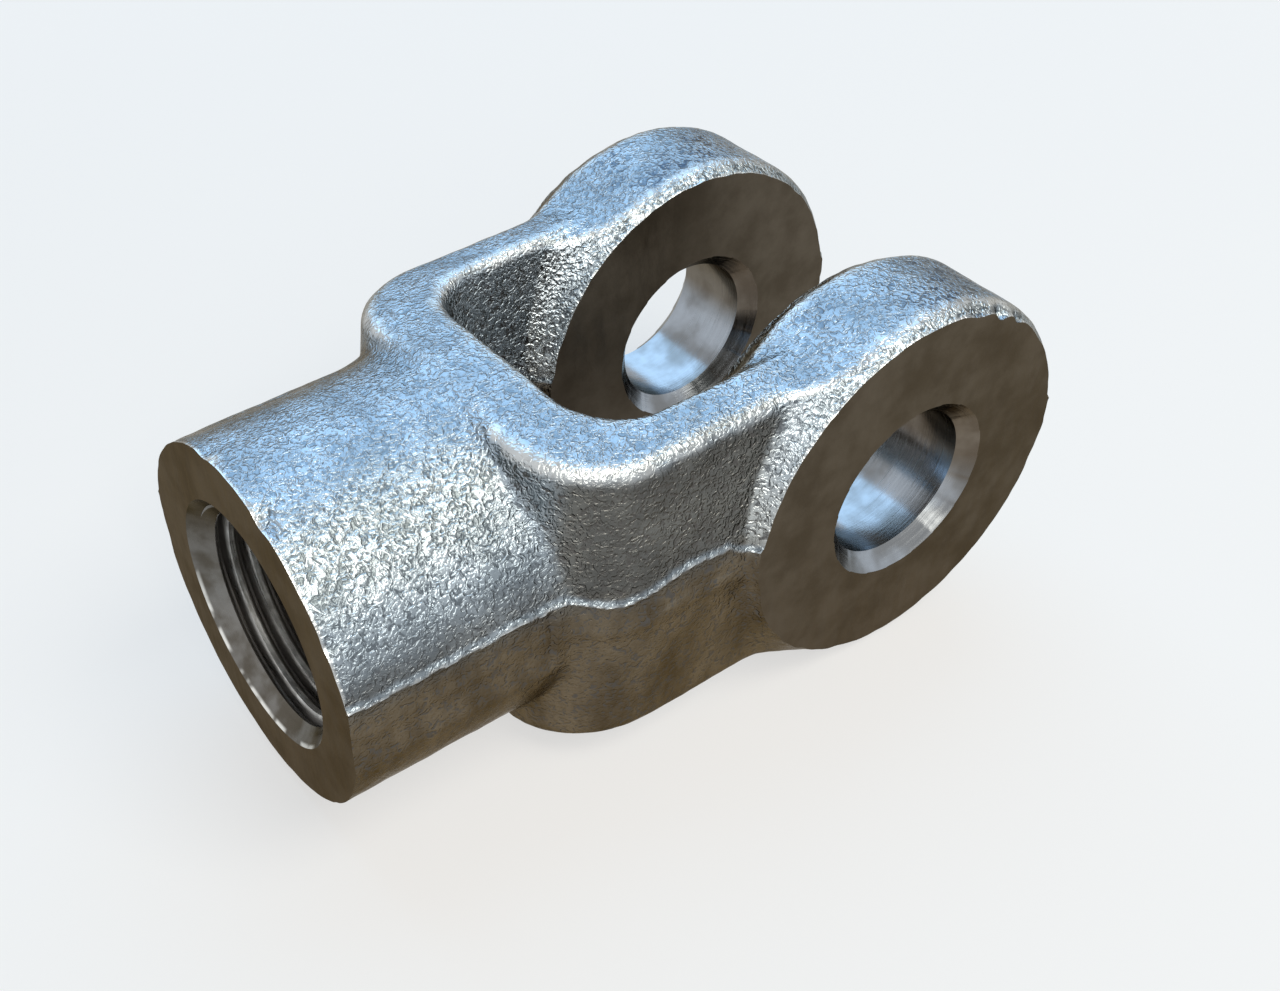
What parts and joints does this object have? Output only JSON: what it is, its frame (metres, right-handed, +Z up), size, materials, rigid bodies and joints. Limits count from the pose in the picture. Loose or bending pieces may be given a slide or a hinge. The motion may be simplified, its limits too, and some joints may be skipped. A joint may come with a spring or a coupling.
{
  "type": "tension rod clevis",
  "caption": "Forged steel fork end for a tension rod: a threaded barrel that opens into two arms with round ears, bored through for a clevis pin.",
  "frame": {"origin": "centre of the pin bore, halfway between the two ears", "axes": "+X along the rod axis from the threaded barrel to the round ears, +Y along the pin, +Z up, square to both"},
  "size_m": [0.0658, 0.0366, 0.0326],
  "materials": {
    "forged_steel": "shot-blasted forged skin, with smooth machined ends, ear faces and bores"
  },
  "bodies": {
    "root": {"clevis": "forged_steel"}
  },
  "joints": []
}
